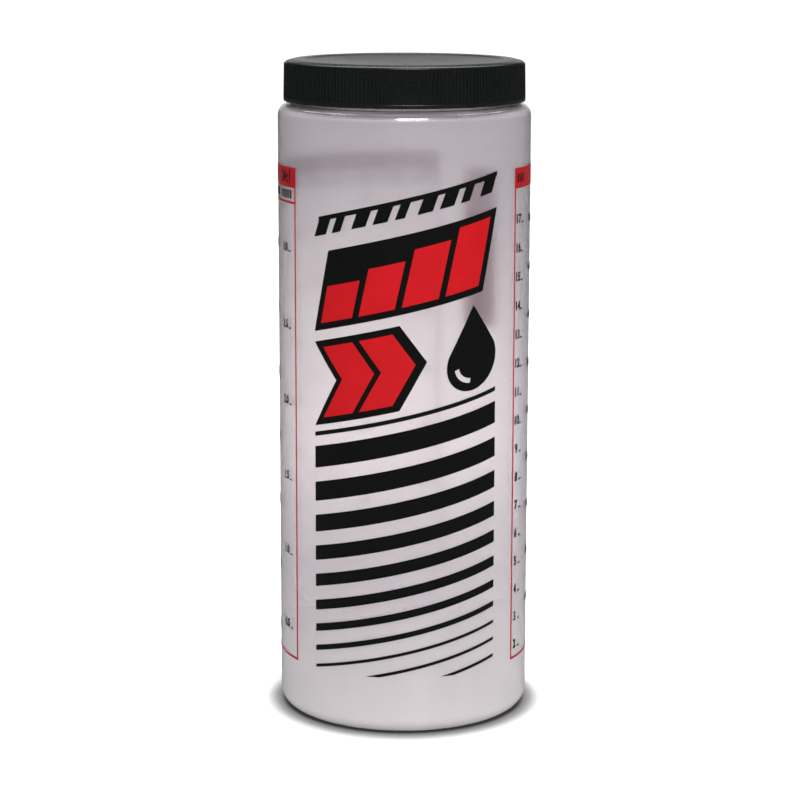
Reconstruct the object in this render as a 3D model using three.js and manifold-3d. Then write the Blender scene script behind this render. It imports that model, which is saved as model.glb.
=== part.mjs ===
// Fuel mixing bottle: a wide-mouth jar with a ribbed screw cap and printed measuring scales.
//
// Millimetres, +Z up. The origin is the centre of the base, where the jar stands. The front of
// the print faces -Y, and angles round the wall are counted from there towards +X.
//
// Three pieces make the bottle: the blown jar, the moulded cap and the foam liner inside it.
// The ink on the wall is modelled as thin films, each one field of colour.

import * as THREE from 'three';
import { mergeVertices } from 'three/addons/utils/BufferGeometryUtils.js';
import Module from 'manifold-3d';

const wasm = await Module();
wasm.setup();

// Jar
const bodyRadius = 35.5;
const wallThickness = 1.4;
const shoulderHeight = 172.85;
const shoulderFillet = 3.0;
const shoulderRise = 0.2;
const heelFillet = 3.8;
const standingRingWidth = 2.0;
const pushUp = 2.6;
const floorThickness = 1.5;

// Neck finish
const shoulderStep = 5.5;
const neckHeight = 7.5;
const neckWall = 1.8;
const rimRound = 0.4;
const threadDepth = 1.15;
const collarHeight = 0.35;
const collarReach = 0.7;

// Cap and liner
const threadPlay = 0.35;
const seatGap = 0.3;
const linerThickness = 1.0;
const linerSideGap = 0.5;
const skirtWall = 1.9;
const plateThickness = 1.2;
const dishDepth = 1.5;
const dishLip = 0.2;
const rimWidth = 3.3;
const topBevelWidth = 2.35;
const topBandHeight = 1.05;
const baseBandHeight = 1.2;
const baseBandReach = 0.5;
const ribCount = 192;
const ribHeight = 0.34;
const skirtDraft = 0.018;
const gateRadius = 0.9;
const gateDepth = 0.25;

// Ink
const filmGap = 0.05;
const filmThickness = 0.1;
const inlayGap = 0.3;

// Front print, drawn from its base up and then stretched to the printed height
const artworkHeight = 140.05;
const printWidth = 54.8;
const printSlope = 0.233;
const printTopMargin = 13.4;
const printBaseMargin = 12.6;
const gaugeHeight = 5.2;
const gaugeBar = 1.3;
const gaugeTeeth = 9;
const gaugeTilt = 1.6;
const gaugeSpace = 4.6;
const levelHeight = 21.5;
const levelLean = 5.0;
const levelBars = 4;
const levelStep = 2.6;
const levelSpace = 2.9;
const plateBorder = 1.9;
const badgeHeight = 23.5;
const chevronCount = 2;
const chevronWidth = 9.4;
const chevronPoint = 7.5;
const dropWidth = 16.0;
const dropGlint = 0.16;
const ruleSpace = 1.8;
const ruleHeight = 1.2;
const stripeSpace = 2.9;
const stripeHeight = 6.1;
const stripeHeightLast = 0.9;
const stripeCount = 9;
const stripeGap = 4.0;

// Side and back print
const frameAngle = 57.9;
const frameLine = 0.6;
const headerHeight = 5.6;
const noteHeight = 3.8;
const ounceFrameSpan = 39.0;
const ratioFrameSpan = 140.6;
const panelGap = 13.5;
const panelSpan = 20.0;
const panelTopMargin = 4.45;
const panelHeight = 47.0;

// Facets
const turns = 60;
const arcSteps = 4;

// Sizes that follow
const wallTop = shoulderHeight - shoulderFillet;
const neckRadius = bodyRadius - shoulderStep;
const boreRadius = neckRadius - neckWall;
const skirtInner = neckRadius + threadDepth + threadPlay;
const collarRadius = skirtInner + collarReach;
const fillet = Math.min(shoulderFillet, bodyRadius - collarRadius - 0.1);
const collarTop = shoulderHeight + shoulderRise + collarHeight;
const capBottom = collarTop + seatGap;
const neckTop = collarTop + neckHeight;
const linerBottom = neckTop + seatGap;
const capCeiling = linerBottom + linerThickness + seatGap;
const dishFloor = capCeiling + plateThickness;
const capTop = dishFloor + dishDepth;
const ribValley = skirtInner + skirtWall;
const ribTop = capTop - topBandHeight;
const ribBottom = capBottom + baseBandHeight;
const rimOuter = ribValley - topBevelWidth;
const dishRadius = rimOuter - rimWidth;
const printBase = heelFillet + printBaseMargin;
const printTop = wallTop - printTopMargin;
const halfPrint = printWidth / 2;
const printStretch = (printTop - printBase) / artworkHeight;
const panelTop = printTop - panelTopMargin;
const panelStart = 360 - frameAngle - ratioFrameSpan - panelGap - panelSpan;

const black = { color: 0x1a1e1b, roughness: 0.45, metalness: 0 };
const ink = { color: 0x161a17, roughness: 0.4, metalness: 0 };
const red = { color: 0xcd1c24, roughness: 0.4, metalness: 0 };
const frosted = { color: 0xd2cacc, roughness: 0.35, metalness: 0, transparent: true, opacity: 0.6 };
const foam = { color: 0xf0eee8, roughness: 0.9, metalness: 0 };

const radians = THREE.MathUtils.degToRad;

/** A closed mesh as a solid that can be cut and joined. */
function solid(geometry) {
  geometry.deleteAttribute('normal');
  geometry.deleteAttribute('uv');
  const welded = mergeVertices(geometry, 1e-5);
  return new wasm.Manifold(new wasm.Mesh({
    numProp: 3,
    vertProperties: new Float32Array(welded.attributes.position.array),
    triVerts: new Uint32Array(welded.index.array),
  }));
}

/** A solid as a named mesh with its own material. */
function mesh(name, body, look) {
  const { vertProperties, triVerts } = body.getMesh();
  const geometry = new THREE.BufferGeometry();
  geometry.setAttribute('position', new THREE.BufferAttribute(vertProperties, 3));
  geometry.setIndex(new THREE.BufferAttribute(triVerts, 1));
  geometry.computeVertexNormals();
  const made = new THREE.Mesh(geometry, new THREE.MeshStandardMaterial(look));
  made.name = name;
  return made;
}

/** Revolves a profile of [radius, height] points about +Z, with one edge facing the front. */
function revolve(profile) {
  const points = profile.map(([radius, height]) => new THREE.Vector2(radius, height));
  return solid(new THREE.LatheGeometry(points, turns).rotateX(Math.PI / 2));
}

/** Points on an arc about a centre, from one angle to another in degrees. */
function arc(centreR, centreZ, radiusR, radiusZ, from, to) {
  return Array.from({ length: arcSteps + 1 }, (_, step) => {
    const angle = radians(from + ((to - from) * step) / arcSteps);
    return [centreR + radiusR * Math.cos(angle), centreZ + radiusZ * Math.sin(angle)];
  });
}

/** The blown jar: pushed-up base, round heel, straight wall, round shoulder and open neck. */
function jar() {
  const heelCentre = bodyRadius - heelFillet;
  const domeRadius = heelCentre - standingRingWidth;
  const crest = bodyRadius - fillet;
  const innerHeel = Math.max(heelFillet - wallThickness, 0.2);
  const innerFillet = Math.max(fillet - wallThickness, 0.2);
  const innerWall = bodyRadius - wallThickness;
  const outside = [
    ...arc(0, 0, domeRadius, pushUp, 90, 0),
    ...arc(heelCentre, heelFillet, heelFillet, heelFillet, -90, 0),
    ...arc(crest, shoulderHeight - fillet, fillet, fillet, 0, 90),
    [collarRadius, shoulderHeight + shoulderRise],
    [collarRadius, collarTop],
    [neckRadius, collarTop],
    ...arc(neckRadius - rimRound, neckTop - rimRound, rimRound, rimRound, 0, 90).filter((_, i) => i % 2),
  ];
  const inside = [
    [boreRadius + rimRound, neckTop],
    [boreRadius, neckTop - rimRound],
    [boreRadius, shoulderHeight - wallThickness + fillet / 3],
    ...arc(innerWall - innerFillet, shoulderHeight - wallThickness - innerFillet, innerFillet, innerFillet, 90, 0),
    ...arc(innerWall - innerHeel, floorThickness + innerHeel, innerHeel, innerHeel, 0, -90),
    ...arc(0, floorThickness, domeRadius, pushUp, 0, 90),
  ];
  return revolve([...outside, ...inside]);
}

/** The band of fine upright ribs round the cap, a little wider at its foot. */
function ribBand() {
  const tip = ribValley + ribHeight;
  const outline = Array.from({ length: ribCount * 2 }, (_, step) => {
    const angle = (Math.PI * step) / ribCount;
    const radius = step % 2 ? ribValley : tip;
    return new THREE.Vector2(radius * Math.sin(angle), radius * Math.cos(angle));
  });
  const shape = new THREE.Shape(outline);
  const height = ribTop - ribBottom;
  const hole = (skirtInner + ribValley) / 2;
  shape.holes.push(new THREE.Path(new THREE.EllipseCurve(0, 0, hole, hole).getPoints(turns)));
  const band = new THREE.ExtrudeGeometry(shape, { depth: height, bevelEnabled: false });
  const position = band.attributes.position;
  for (let i = 0; i < position.count; i += 1) {
    const drop = height - position.getZ(i);
    const spread = 1 + (skirtDraft * drop) / tip;
    position.setXY(i, position.getX(i) * spread, position.getY(i) * spread);
  }
  return solid(band.translate(0, 0, ribBottom));
}

/** The moulded cap: sunk dished top in a raised rim, ribbed skirt and smooth foot band. */
function cap() {
  const foot = ribValley + baseBandReach;
  const step = Math.min(0.3, (ribTop - ribBottom) / 4);
  const dish = Array.from({ length: arcSteps }, (_, i) => {
    const radius = dishRadius + ((gateRadius - dishRadius) * i) / (arcSteps - 1);
    return [radius, dishFloor + (dishDepth - dishLip) * (radius / dishRadius) ** 2];
  });
  const shell = revolve([
    [0, capCeiling],
    [skirtInner - seatGap, capCeiling],
    [skirtInner, capCeiling - seatGap],
    [skirtInner, capBottom + baseBandHeight * 0.25],
    [skirtInner + skirtWall * 0.15, capBottom],
    [foot - baseBandReach * 0.4, capBottom],
    [foot, capBottom + baseBandHeight * 0.25],
    [foot, ribBottom - baseBandHeight * 0.2],
    [foot - baseBandReach * 0.5, ribBottom + step / 2],
    [ribValley - step / 2, ribBottom + step],
    [ribValley - step / 2, ribTop - step],
    [ribValley, ribTop - step],
    [ribValley, capTop - topBandHeight * 0.75],
    [ribValley - topBevelWidth * 0.13, capTop - topBandHeight * 0.4],
    [ribValley - topBevelWidth * 0.35, capTop - topBandHeight * 0.22],
    [rimOuter, capTop],
    [dishRadius + dishLip * 3, capTop],
    ...dish,
    [gateRadius * 0.8, dishFloor - gateDepth],
    [0, dishFloor - gateDepth],
  ]);
  return shell.add(ribBand());
}

/** The foam sealing disc under the top of the cap. */
function capLiner() {
  const radius = skirtInner - linerSideGap;
  const top = linerBottom + linerThickness;
  return revolve([[0, linerBottom], [radius, linerBottom], [radius, top], [0, top]]);
}

/** A ring of ink round the wall between two heights, faceted like the jar. */
function inkRing(bottom, top) {
  const inner = bodyRadius + filmGap;
  const outer = inner + filmThickness;
  return revolve([[inner, bottom], [outer, bottom], [outer, top], [inner, top], [inner, bottom]]);
}

/** A point of the flat artwork, [across, up], as seen on the round wall from the front. */
function onWall([across, up]) {
  const height = printBase + (up + printSlope * across) * printStretch;
  return new THREE.Vector2(bodyRadius * Math.sin(across / bodyRadius), height);
}

/** Splits the long edges of a closed outline, so that they follow the wall. */
function withShortEdges(outline) {
  return outline.flatMap((start, index) => {
    const end = outline[(index + 1) % outline.length];
    const pieces = Math.max(1, Math.round(Math.abs(end[0] - start[0]) / (printWidth / 4)));
    return Array.from({ length: pieces }, (_, i) => [
      start[0] + ((end[0] - start[0]) * i) / pieces,
      start[1] + ((end[1] - start[1]) * i) / pieces,
    ]);
  });
}

/** A field of ink on the front, from its flat outline and any windows in it. */
function frontInk(outline, windows = []) {
  const shape = new THREE.Shape(withShortEdges(outline).map(onWall));
  shape.holes = windows.map((hole) => new THREE.Path(withShortEdges(hole).map(onWall)));
  const heights = shape.getPoints().map((point) => point.y);
  const cutter = new THREE.ExtrudeGeometry(shape, { depth: bodyRadius * 1.5, bevelEnabled: false });
  const ring = inkRing(Math.min(...heights) - 1, Math.max(...heights) + 1);
  return ring.intersect(solid(cutter.rotateX(Math.PI / 2)));
}

/** A wedge between two angles and two heights, wider than the jar. */
function wedge(from, to, bottom, top) {
  const reach = bodyRadius * 1.5;
  const count = Math.max(2, Math.ceil((to - from) / 15));
  const rim = Array.from({ length: count + 1 }, (_, i) => {
    const angle = radians(from + ((to - from) * i) / count);
    return new THREE.Vector2(reach * Math.sin(angle), -reach * Math.cos(angle));
  });
  const shape = new THREE.Shape([new THREE.Vector2(0, 0), ...rim]);
  const slab = new THREE.ExtrudeGeometry(shape, { depth: top - bottom, bevelEnabled: false });
  return solid(slab.translate(0, 0, bottom));
}

/** A framed scale with a filled header above its windows, each [bottom, top]. */
function scaleFrame(from, to, windows) {
  const margin = THREE.MathUtils.radToDeg(frameLine / bodyRadius);
  const field = inkRing(printBase, printTop).intersect(wedge(from, to, printBase - 1, printTop + 1));
  return windows.reduce((left, [bottom, top]) => (
    left.subtract(wedge(from + margin, to - margin, bottom, top))), field);
}

/** The upper strip: a slanted bar with leaning teeth, like the edge of a rule. */
function gaugeStrip(top) {
  const pitch = printWidth / gaugeTeeth;
  const root = top - gaugeBar;
  const foot = top - gaugeHeight;
  const teeth = Array.from({ length: gaugeTeeth }, (_, i) => {
    const left = -halfPrint + pitch * i;
    const width = pitch * (i % 3 === 1 ? 0.45 : 0.68);
    const lean = Math.min(gaugeTilt, pitch - width - 0.2);
    return [[left + lean, root], [left, foot], [left + width, foot], [left + width + lean, root]];
  }).flat();
  return frontInk([[-halfPrint + gaugeTilt, top], ...teeth, [halfPrint, root], [halfPrint, top]]);
}

/** A leaning bar of the level emblem. */
function leaning(left, right, bottom, top, lean) {
  return [[left, bottom], [right, bottom], [right + lean, top], [left + lean, top]];
}

/** Four red level bars of growing height in a black plate. */
function levelEmblem(top) {
  const bottom = top - levelHeight;
  const low = bottom + plateBorder;
  const tall = levelHeight - plateBorder * 2;
  const run = printWidth - levelLean - plateBorder * (levelBars + 1);
  const width = run / levelBars;
  const bars = Array.from({ length: levelBars }, (_, i) => {
    const left = -halfPrint + plateBorder + (width + plateBorder) * i;
    const height = tall - levelStep * (levelBars - 1 - i);
    const shift = (levelLean * plateBorder) / levelHeight;
    const window = leaning(left + shift, left + shift + width, low, low + height,
      (levelLean * height) / levelHeight);
    const bar = leaning(left + shift + inlayGap, left + shift + width - inlayGap, low + inlayGap,
      low + height - inlayGap, (levelLean * height) / levelHeight);
    return { window, bar };
  });
  const plate = leaning(-halfPrint, halfPrint - levelLean, bottom, top, levelLean);
  return [
    mesh('level_plate', frontInk(plate, bars.map((entry) => entry.window)), ink),
    ...bars.map((entry, i) => mesh(`level_bar_${i + 1}`, frontInk(entry.bar), red)),
  ];
}

/** A chevron that points to the right. */
function chevron(left, width, bottom, top, point) {
  const middle = (bottom + top) / 2;
  return [
    [left, bottom], [left + width, bottom], [left + width + point, middle],
    [left + width, top], [left, top], [left + point, middle],
  ];
}

/** Two red chevrons in a black plate. */
function chevronBadge(top) {
  const bottom = top - badgeHeight;
  const inner = badgeHeight - plateBorder * 2;
  const point = (chevronPoint * inner) / badgeHeight;
  const rise = (chevronPoint * plateBorder * 2) / badgeHeight;
  const width = chevronWidth * chevronCount + plateBorder * (chevronCount + 1);
  const lefts = Array.from({ length: chevronCount }, (_, i) => (
    -halfPrint + plateBorder + rise + (chevronWidth + plateBorder) * i));
  const plate = chevron(-halfPrint, width + rise, bottom, top, chevronPoint);
  const windows = lefts.map((left) => (
    chevron(left, chevronWidth, bottom + plateBorder, top - plateBorder, point)));
  const inlays = lefts.map((left) => chevron(left + inlayGap, chevronWidth - inlayGap * 2,
    bottom + plateBorder + inlayGap, top - plateBorder - inlayGap, point));
  return [
    mesh('chevron_plate', frontInk(plate, windows), ink),
    ...inlays.map((inlay, i) => mesh(`chevron_${i + 1}`, frontInk(inlay), red)),
  ];
}

/** A drop of fuel with a curved glint left bare. */
function fuelDrop(top) {
  const radius = Math.min(dropWidth, badgeHeight * 0.8) / 2;
  const centre = [halfPrint - radius, top - badgeHeight + radius];
  const around = (share, from, to, count) => Array.from({ length: count + 1 }, (_, i) => {
    const angle = radians(from + ((to - from) * i) / count);
    return [centre[0] + radius * share * Math.cos(angle), centre[1] + radius * share * Math.sin(angle)];
  });
  const outline = [...around(1, -205, 25, 16), [centre[0], top]];
  const glint = [...around(0.72, 190, 260, 5), ...around(0.72 - dropGlint, 260, 190, 5)];
  return frontInk(outline, [glint]);
}

/** Keeps what lies above the level base of the artwork. */
function clipBase(outline) {
  return outline.flatMap((start, index) => {
    const end = outline[(index + 1) % outline.length];
    const a = start[1] + printSlope * start[0];
    const b = end[1] + printSlope * end[0];
    const kept = a >= 0 ? [start] : [];
    if (a * b < 0) {
      const share = a / (a - b);
      kept.push([start[0] + (end[0] - start[0]) * share, start[1] + (end[1] - start[1]) * share]);
    }
    return kept;
  });
}

/** Slanted stripes that thin out downwards and end on a level line. */
function stripes(top) {
  const made = [];
  let edge = top;
  for (let i = 0; edge + printSlope * halfPrint > stripeGap; i += 1) {
    const share = Math.min(i / (stripeCount - 1), 1);
    const height = stripeHeight + (stripeHeightLast - stripeHeight) * share;
    const flat = [[-halfPrint, edge - height], [halfPrint, edge - height], [halfPrint, edge], [-halfPrint, edge]];
    made.push(mesh(`stripe_${i + 1}`, frontInk(clipBase(flat)), ink));
    edge -= height + stripeGap;
  }
  return made;
}

/** The red field on the back, between the two scales. */
function backPanel() {
  const bottom = panelTop - panelHeight;
  return inkRing(bottom, panelTop).intersect(wedge(panelStart, panelStart + panelSpan, bottom - 1, panelTop + 1));
}

const artTop = artworkHeight - printSlope * halfPrint;
const levelTop = artTop - gaugeHeight - gaugeSpace;
const badgeTop = levelTop - levelHeight - levelSpace;
const ruleTop = badgeTop - badgeHeight - ruleSpace;
const stripeTop = ruleTop - ruleHeight - stripeSpace;
const rule = [
  [-halfPrint, ruleTop - ruleHeight], [halfPrint, ruleTop - ruleHeight],
  [halfPrint, ruleTop], [-halfPrint, ruleTop],
];

const windowBottom = printBase + frameLine;
const headerBottom = printTop - headerHeight;
const noteBottom = headerBottom - noteHeight;
const ounceWindows = [[windowBottom, headerBottom]];
const ratioWindows = [[noteBottom, headerBottom], [windowBottom, noteBottom - frameLine]];

const closure = new THREE.Group();
closure.add(mesh('cap', cap(), black), mesh('cap_liner', capLiner(), foam));

const print = new THREE.Group();
print.add(
  mesh('gauge_strip', gaugeStrip(artTop), ink),
  ...levelEmblem(levelTop),
  ...chevronBadge(badgeTop),
  mesh('fuel_drop', fuelDrop(badgeTop), ink),
  mesh('rule_line', frontInk(rule), ink),
  ...stripes(stripeTop),
  mesh('ounce_frame', scaleFrame(frameAngle, frameAngle + ounceFrameSpan, ounceWindows), red),
  mesh('ratio_frame', scaleFrame(-frameAngle - ratioFrameSpan, -frameAngle, ratioWindows), red),
  mesh('back_panel', backPanel(), red),
);

const bottle = new THREE.Group();
bottle.add(mesh('bottle', jar(), frosted), closure, print);

export default bottle;
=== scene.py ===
"""Dresses the fuel mixing bottle: frosted jar, ribbed screw cap, sealing disc and printed scales."""

import logging
import math
from dataclasses import dataclass, field
from enum import Enum
from typing import Any, Callable, Iterable, Sequence

import bmesh
import bpy
from mathutils import Matrix, Vector


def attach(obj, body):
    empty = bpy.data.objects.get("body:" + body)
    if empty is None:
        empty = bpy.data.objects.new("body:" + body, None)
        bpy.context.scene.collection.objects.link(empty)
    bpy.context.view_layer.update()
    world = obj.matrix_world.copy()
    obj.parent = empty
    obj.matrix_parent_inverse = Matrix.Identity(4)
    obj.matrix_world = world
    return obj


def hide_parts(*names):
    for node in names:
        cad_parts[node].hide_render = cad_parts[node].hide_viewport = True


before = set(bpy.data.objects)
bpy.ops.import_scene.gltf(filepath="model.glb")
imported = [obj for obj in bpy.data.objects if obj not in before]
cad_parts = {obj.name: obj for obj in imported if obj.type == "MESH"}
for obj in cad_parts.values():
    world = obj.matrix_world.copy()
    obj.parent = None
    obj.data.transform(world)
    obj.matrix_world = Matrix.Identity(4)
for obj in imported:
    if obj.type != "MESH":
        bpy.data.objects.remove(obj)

LOG = logging.getLogger("fuel_mixing_bottle")
MM = 0.001
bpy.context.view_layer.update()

Socket = bpy.types.NodeSocket
Material = bpy.types.Material
Object = bpy.types.Object
Mesh = bpy.types.Mesh
Inputs = dict[str | int, Any]
Colour = tuple[float, float, float]
Point = tuple[float, float]
Outline = list[Point]


class Body(Enum):
    """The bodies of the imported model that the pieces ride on."""

    JAR = "jar"
    LINER = "liner"
    CLOSURE = "closure"


class Slot(Enum):
    """The record's material slots."""

    FROSTED = "frosted_plastic"
    BLACK = "black_plastic"
    FOAM = "foam"
    BLACK_INK = "black_ink"
    RED_INK = "red_ink"


def grey(level: float) -> tuple[float, float, float, float]:
    """A neutral colour."""
    return (level, level, level, 1.0)


def rgba(colour: Colour, share: float = 1.0) -> tuple[float, ...]:
    """A solid colour, made lighter or darker by a share."""
    return (*(min(1.0, part * share) for part in colour), 1.0)


@dataclass
class Pen:
    """Writes nodes into a node tree.

    Args:
        tree: The tree that the nodes go into.
    """

    tree: bpy.types.NodeTree

    def node(self, kind: str, inputs: Inputs | None = None, **settings: Any) -> bpy.types.Node:
        """Adds one node.

        Args:
            kind: The node's type.
            inputs: Values or links for its input sockets, by name or index.
            settings: The node's own settings, which are set first.

        Returns:
            The new node.
        """
        made = self.tree.nodes.new(kind)
        for name, value in settings.items():
            setattr(made, name, value)
        for name, value in (inputs or {}).items():
            if isinstance(value, Value):
                value = value.socket
            if isinstance(value, Socket):
                self.tree.links.new(value, made.inputs[name])
            else:
                made.inputs[name].default_value = value
        return made

    def value(self, kind: str, output: str | int, inputs: Inputs | None = None,
              **settings: Any) -> "Value":
        """Adds one node and wraps one of its outputs for maths.

        Args:
            kind: The node's type.
            output: The output's name or index.
            inputs: Values or links for its input sockets.
            settings: The node's own settings.

        Returns:
            The wrapped output.
        """
        return Value(self, self.node(kind, inputs, **settings).outputs[output])

    def place(self) -> Socket:
        """The object's own coordinates."""
        return self.node("ShaderNodeTexCoord").outputs["Object"]

    def noise(self, place: Socket, scale: float, detail: float) -> "Value":
        """A noise of 0 to 1."""
        return self.value("ShaderNodeTexNoise", "Fac", {
            "Vector": place, "Scale": scale, "Detail": detail})

    def relief(self, height: Any, strength: float, distance: float) -> Socket:
        """A fine bump for a shader's Normal."""
        return self.node("ShaderNodeBump", {
            "Strength": strength, "Distance": distance, "Height": height}).outputs[0]

    def ramp(self, factor: Any, stops: Sequence[Point]) -> "Value":
        """A ramp of greys.

        Args:
            factor: What the ramp is read by.
            stops: The place and the level of each stop.

        Returns:
            The level.
        """
        made = self.node("ShaderNodeValToRGB", {"Fac": factor})
        elements = made.color_ramp.elements
        while len(elements) < len(stops):
            elements.new(0.5)
        for element, (place, level) in zip(elements, stops):
            element.position = place
            element.color = grey(level)
        return Value(self, made.outputs["Color"])

    def blend(self, factor: Any, low: Any, high: Any) -> Socket:
        """Mixes two colours.

        Args:
            factor: How much of the second colour shows.
            low: The first colour.
            high: The second colour.

        Returns:
            The mixed colour.
        """
        mix = self.node("ShaderNodeMix", {0: factor, 6: low, 7: high}, data_type="RGBA")
        return mix.outputs[2]

    def mix(self, factor: Any, first: bpy.types.Node, second: bpy.types.Node) -> bpy.types.Node:
        """Mixes two shaders."""
        return self.node("ShaderNodeMixShader", {
            0: factor, 1: first.outputs[0], 2: second.outputs[0]})


@dataclass
class Value:
    """A number in a node tree that Python's operators act on.

    Args:
        pen: The writer of the tree.
        socket: The output that carries the number.
    """

    pen: Pen
    socket: Socket

    def maths(self, operation: str, first: Any, second: Any) -> "Value":
        """Adds one Math node."""
        return self.pen.value("ShaderNodeMath", 0, {0: first, 1: second}, operation=operation)

    def __add__(self, other: Any) -> "Value":
        """self + other."""
        return self.maths("ADD", self, other)

    __radd__ = __add__

    def __sub__(self, other: Any) -> "Value":
        """self - other."""
        return self.maths("SUBTRACT", self, other)

    def __rsub__(self, other: Any) -> "Value":
        """other - self."""
        return self.maths("SUBTRACT", other, self)

    def __mul__(self, other: Any) -> "Value":
        """self * other."""
        return self.maths("MULTIPLY", self, other)

    __rmul__ = __mul__

    def __truediv__(self, other: Any) -> "Value":
        """self / other."""
        return self.maths("DIVIDE", self, other)

    def __rtruediv__(self, other: Any) -> "Value":
        """other / self."""
        return self.maths("DIVIDE", other, self)

    def least(self, other: Any) -> "Value":
        """The smaller of two numbers."""
        return self.maths("MINIMUM", self, other)

    def most(self, other: Any) -> "Value":
        """The greater of two numbers."""
        return self.maths("MAXIMUM", self, other)

    def swing(self, middle: float, reach: float) -> "Value":
        """A number that a noise of 0 to 1 swings about its middle."""
        return middle - reach / 2 + self * reach


@dataclass(frozen=True)
class Finish:
    """A procedural material. Each kind of finish mixes its own surface."""

    name: str

    def surface(self, pen: Pen) -> bpy.types.Node:
        """Mixes the surface."""
        raise NotImplementedError

    def build(self) -> Material:
        """Makes the material.

        Returns:
            The material, with its surface linked to the output.
        """
        material = bpy.data.materials.new(self.name)
        material.use_nodes = True
        material.node_tree.nodes.clear()
        pen = Pen(material.node_tree)
        pen.node("ShaderNodeOutputMaterial", {"Surface": self.surface(pen).outputs[0]})
        return material


@dataclass(frozen=True)
class FrostedPlastic(Finish):
    """Natural blown plastic: a softly clear wall, with painted light that makes it paler and milkier
    towards its two ends, where more light falls on the heel and under the shoulder.

    Lengths are in metres. The stops of ends run up the jar's height.
    """

    name: str = "frosted_jar"
    clear: Colour = (0.955, 0.905, 0.91)
    # Painted light: the paler end colours, the extra milky share at the ends and the ramp of ends
    # stand for brighter light on the heel and under the shoulder.
    clear_end: Colour = (0.97, 0.935, 0.94)
    milk: Colour = (0.58, 0.54, 0.62)
    milk_end: Colour = (0.93, 0.89, 0.895)
    cloudiness: float = 0.12
    haze: float = 0.155
    skin: float = 0.24
    refraction: float = 1.5
    cloud_height: float = 0.12
    jar_height: float = 0.185
    end_milk: float = 0.40
    ends: tuple[Point, ...] = (
        (0.0, 1.0), (0.378, 0.0), (0.72, 0.0), (0.83, 0.20), (0.90, 0.24), (0.94, 0.05))

    def surface(self, pen: Pen) -> bpy.types.Node:
        """Mixes the clear and the milky part.

        Args:
            pen: The writer of the material's tree.

        Returns:
            The mixed shader.
        """
        place = pen.place()
        flow = pen.node("ShaderNodeMapping", {"Vector": place, "Scale": (1.0, 1.0, self.cloud_height)})
        cloud = pen.noise(flow.outputs[0], 55.0, 3.0)
        grain = pen.noise(place, 2600.0, 2.0)
        height = Value(pen, pen.node("ShaderNodeSeparateXYZ", {0: place}).outputs[2])
        # Painted light: this ramp paints the heel and the band under the shoulder paler and milkier,
        # as if more light fell there.
        ends = pen.ramp(height * (1.0 / self.jar_height), self.ends)
        relief = pen.relief(grain + cloud * 4.0, 0.05, 0.0002)
        wall = pen.node("ShaderNodeBsdfPrincipled", {
            "Base Color": pen.blend(ends, rgba(self.clear), rgba(self.clear_end)),
            "Roughness": cloud.swing(self.haze, 0.04), "Normal": relief, "IOR": self.refraction,
            "Transmission Weight": 1.0, "Coat Weight": 0.4, "Coat Roughness": 0.08})
        cloudy = pen.node("ShaderNodeBsdfPrincipled", {
            "Base Color": pen.blend(ends, rgba(self.milk), rgba(self.milk_end)),
            "Roughness": cloud.swing(self.skin, 0.06), "Normal": relief, "IOR": self.refraction})
        # Painted light: the ends get a greater milky share, so they read brighter.
        return pen.mix(cloud.swing(self.cloudiness, 0.08) + ends * self.end_milk, wall, cloudy)


@dataclass(frozen=True)
class MouldedPlastic(Finish):
    """Moulded black plastic with a fine satin texture and slight scuffs."""

    name: str = "black_cap"
    dark: Colour = (0.004264, 0.005616, 0.004784)
    scuffed: Colour = (0.00728, 0.00936, 0.00806)
    roughness: float = 0.28

    def surface(self, pen: Pen) -> bpy.types.Node:
        """Makes the satin black.

        Args:
            pen: The writer of the material's tree.

        Returns:
            The shader.
        """
        place = pen.place()
        cloud = pen.noise(place, 90.0, 4.0)
        return pen.node("ShaderNodeBsdfPrincipled", {
            "Base Color": pen.blend(cloud, rgba(self.dark), rgba(self.scuffed)),
            "Roughness": cloud.swing(self.roughness, 0.1), "IOR": 1.5, "Specular IOR Level": 0.4,
            "Normal": pen.relief(pen.noise(place, 3800.0, 2.0), 0.08, 0.0001)})


@dataclass(frozen=True)
class ScreenInk(Finish):
    """Screen ink: even colour with a faint mesh grain and thin spots.

    A sheer ink lets some light through, as the scales' red does where the wall shows it from inside.
    """

    colour: Colour
    roughness: float = 0.30
    sheer: float = 0.0

    def surface(self, pen: Pen) -> bpy.types.Node:
        """Makes the printed colour.

        Args:
            pen: The writer of the material's tree.

        Returns:
            The shader.
        """
        place = pen.place()
        cloud = pen.noise(place, 140.0, 4.0)
        return pen.node("ShaderNodeBsdfPrincipled", {
            "Base Color": pen.blend(cloud, rgba(self.colour, 0.86), rgba(self.colour, 1.08)),
            "Roughness": cloud.swing(self.roughness, 0.08), "IOR": 1.48, "Specular IOR Level": 0.15,
            "Normal": pen.relief(pen.noise(place, 5200.0, 1.0), 0.08, 0.00005),
            "Transmission Weight": self.sheer})


@dataclass(frozen=True)
class Foam(Finish):
    """White closed-cell foam of the sealing disc."""

    name: str = "liner_foam"
    colour: Colour = (0.86, 0.85, 0.82)

    def surface(self, pen: Pen) -> bpy.types.Node:
        """Makes the foam's cells.

        Args:
            pen: The writer of the material's tree.

        Returns:
            The shader.
        """
        cells = pen.value("ShaderNodeTexVoronoi", "Distance", {"Vector": pen.place(), "Scale": 2200.0})
        return pen.node("ShaderNodeBsdfPrincipled", {
            "Base Color": pen.blend(cells, rgba(self.colour, 0.93), rgba(self.colour)),
            "Roughness": 0.85 - cells * 0.1, "Normal": pen.relief(cells, 0.25, 0.0001)})


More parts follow.
